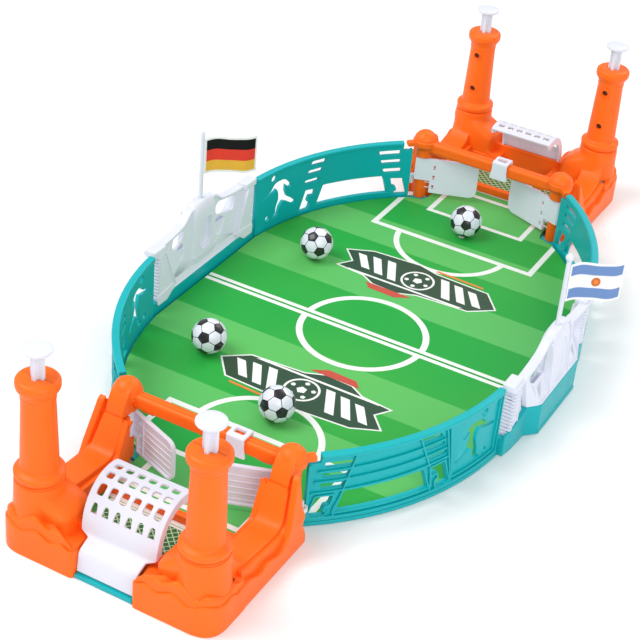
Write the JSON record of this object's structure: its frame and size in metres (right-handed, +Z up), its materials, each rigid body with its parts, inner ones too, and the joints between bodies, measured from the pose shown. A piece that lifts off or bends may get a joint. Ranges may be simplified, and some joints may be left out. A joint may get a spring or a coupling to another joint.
{
  "type": "tabletop football game",
  "caption": "Two-player tabletop football game: walled oval pitch with grandstands and flags, and a goal at each end whose push-button towers kick hinged flippers.",
  "frame": {"origin": "centre of the underside, on the table, under the middle of the halfway line", "axes": "+Y along the length towards the far goal, +X across the pitch towards the right-hand grandstand, +Z up"},
  "size_m": [0.2832, 0.563, 0.1224],
  "materials": {
    "orange_shell": "satin moulded ABS, bright orange",
    "turquoise_shell": "satin moulded ABS, turquoise",
    "white_parts": "satin moulded ABS, cool white",
    "pitch_print": "printed green pitch with white lines under a satin film",
    "spring_steel": "drawn spring wire",
    "screw_steel": "blackened self-tapping screw",
    "ball": "white ball with printed black pentagons and seams",
    "flag_a": "printed three-band flag with a white margin",
    "flag_b": "printed three-band flag with a plain disc"
  },
  "bodies": {
    "frame": {"base_tray_near": "turquoise_shell", "pitch_board_near": "pitch_print", "goal_body_near": "orange_shell", "crossbar_near": "orange_shell", "net_cover_near": "white_parts", "arena_wall_near_left": "turquoise_shell", "arena_wall_near_right": "turquoise_shell", "base_tray_far": "turquoise_shell", "pitch_board_far": "pitch_print", "goal_body_far": "orange_shell", "crossbar_far": "orange_shell", "net_cover_far": "white_parts", "arena_wall_far_left": "turquoise_shell", "arena_wall_far_right": "turquoise_shell", "side_box_left": "turquoise_shell", "grandstand_left": "white_parts", "side_box_right": "turquoise_shell", "grandstand_right": "white_parts", "column_front_near_left": "orange_shell", "column_back_near_left": "orange_shell", "screw_upper_near_left": "screw_steel", "screw_lower_near_left": "screw_steel", "spring_near_left": "spring_steel", "column_front_near_right": "orange_shell", "column_back_near_right": "orange_shell", "screw_upper_near_right": "screw_steel", "screw_lower_near_right": "screw_steel", "spring_near_right": "spring_steel", "column_front_far_left": "orange_shell", "column_back_far_left": "orange_shell", "screw_upper_far_left": "screw_steel", "screw_lower_far_left": "screw_steel", "spring_far_left": "spring_steel", "column_front_far_right": "orange_shell", "column_back_far_right": "orange_shell", "screw_upper_far_right": "screw_steel", "screw_lower_far_right": "screw_steel", "spring_far_right": "spring_steel"},
    "plunger_near_left": {"plunger_near_left": "white_parts"},
    "link_near_left": {"drive_link_near_left": "white_parts"},
    "flipper_near_left": {"flipper_near_left": "white_parts"},
    "plunger_near_right": {"plunger_near_right": "white_parts"},
    "link_near_right": {"drive_link_near_right": "white_parts"},
    "flipper_near_right": {"flipper_near_right": "white_parts"},
    "plunger_far_left": {"plunger_far_left": "white_parts"},
    "link_far_left": {"drive_link_far_left": "white_parts"},
    "flipper_far_left": {"flipper_far_left": "white_parts"},
    "plunger_far_right": {"plunger_far_right": "white_parts"},
    "link_far_right": {"drive_link_far_right": "white_parts"},
    "flipper_far_right": {"flipper_far_right": "white_parts"},
    "slider_near": {"score_slider_near": "white_parts"},
    "slider_far": {"score_slider_far": "white_parts"},
    "flag_left": {"flag_pole_left": "white_parts", "flag_left": "flag_a"},
    "flag_right": {"flag_pole_right": "white_parts", "flag_right": "flag_b"},
    "ball_1": {"ball_1": "ball"},
    "ball_2": {"ball_2": "ball"},
    "ball_3": {"ball_3": "ball"},
    "ball_4": {"ball_4": "ball"}
  },
  "joints": [
    {"name": "press_near_left", "type": "slide", "parent": "frame", "child": "plunger_near_left", "axis": [0, 0, -1], "range_m": [0, 0.012], "stiffness_N_per_m": 60, "springref_m": -0.01, "deforming": ["spring_near_left"]},
    {"name": "pull_near_left", "type": "slide", "parent": "frame", "child": "link_near_left", "axis": [0, -1, 0], "range_m": [0, 0.0052]},
    {"name": "kick_near_left", "type": "hinge", "parent": "frame", "child": "flipper_near_left", "pos_m": [-0.052, -0.1845, 0.026], "axis": [0, 0, 1], "range_deg": [0, 40.1]},
    {"name": "press_near_right", "type": "slide", "parent": "frame", "child": "plunger_near_right", "axis": [0, 0, -1], "range_m": [0, 0.012], "stiffness_N_per_m": 60, "springref_m": -0.01, "deforming": ["spring_near_right"]},
    {"name": "pull_near_right", "type": "slide", "parent": "frame", "child": "link_near_right", "axis": [0, -1, 0], "range_m": [0, 0.0052]},
    {"name": "kick_near_right", "type": "hinge", "parent": "frame", "child": "flipper_near_right", "pos_m": [0.052, -0.1845, 0.026], "axis": [0, 0, -1], "range_deg": [0, 40.1]},
    {"name": "press_far_left", "type": "slide", "parent": "frame", "child": "plunger_far_left", "axis": [0, 0, -1], "range_m": [0, 0.012], "stiffness_N_per_m": 60, "springref_m": -0.01, "deforming": ["spring_far_left"]},
    {"name": "pull_far_left", "type": "slide", "parent": "frame", "child": "link_far_left", "axis": [0, 1, 0], "range_m": [0, 0.0052]},
    {"name": "kick_far_left", "type": "hinge", "parent": "frame", "child": "flipper_far_left", "pos_m": [-0.052, 0.1845, 0.026], "axis": [0, 0, -1], "range_deg": [0, 40.1]},
    {"name": "press_far_right", "type": "slide", "parent": "frame", "child": "plunger_far_right", "axis": [0, 0, -1], "range_m": [0, 0.012], "stiffness_N_per_m": 60, "springref_m": -0.01, "deforming": ["spring_far_right"]},
    {"name": "pull_far_right", "type": "slide", "parent": "frame", "child": "link_far_right", "axis": [0, 1, 0], "range_m": [0, 0.0052]},
    {"name": "kick_far_right", "type": "hinge", "parent": "frame", "child": "flipper_far_right", "pos_m": [0.052, 0.1845, 0.026], "axis": [0, 0, 1], "range_deg": [0, 40.1]},
    {"name": "score_near", "type": "slide", "parent": "frame", "child": "slider_near", "axis": [1, 0, 0], "range_m": [-0.057, 0.017]},
    {"name": "score_far", "type": "slide", "parent": "frame", "child": "slider_far", "axis": [1, 0, 0], "range_m": [-0.045, 0.029]},
    {"name": "lift_flag_left", "type": "slide", "parent": "frame", "child": "flag_left", "axis": [0, 0, 1], "range_m": [0, 0.02]},
    {"name": "lift_flag_right", "type": "slide", "parent": "frame", "child": "flag_right", "axis": [0, 0, 1], "range_m": [0, 0.02]},
    {"name": "lift_ball_1", "type": "slide", "parent": "frame", "child": "ball_1", "axis": [0, 0, 1], "range_m": [0, 0.06]},
    {"name": "lift_ball_2", "type": "slide", "parent": "frame", "child": "ball_2", "axis": [0, 0, 1], "range_m": [0, 0.06]},
    {"name": "lift_ball_3", "type": "slide", "parent": "frame", "child": "ball_3", "axis": [0, 0, 1], "range_m": [0, 0.06]},
    {"name": "lift_ball_4", "type": "slide", "parent": "frame", "child": "ball_4", "axis": [0, 0, 1], "range_m": [0, 0.06]}
  ],
  "couplings": [
    {"joint": "pull_near_left", "follows": "press_near_left", "ratio": 0.42753},
    {"joint": "kick_near_left", "follows": "press_near_left", "rad_per_m": 58.178},
    {"joint": "pull_near_right", "follows": "press_near_right", "ratio": 0.42753},
    {"joint": "kick_near_right", "follows": "press_near_right", "rad_per_m": 58.178},
    {"joint": "pull_far_left", "follows": "press_far_left", "ratio": 0.42753},
    {"joint": "kick_far_left", "follows": "press_far_left", "rad_per_m": 58.178},
    {"joint": "pull_far_right", "follows": "press_far_right", "ratio": 0.42753},
    {"joint": "kick_far_right", "follows": "press_far_right", "rad_per_m": 58.178}
  ]
}
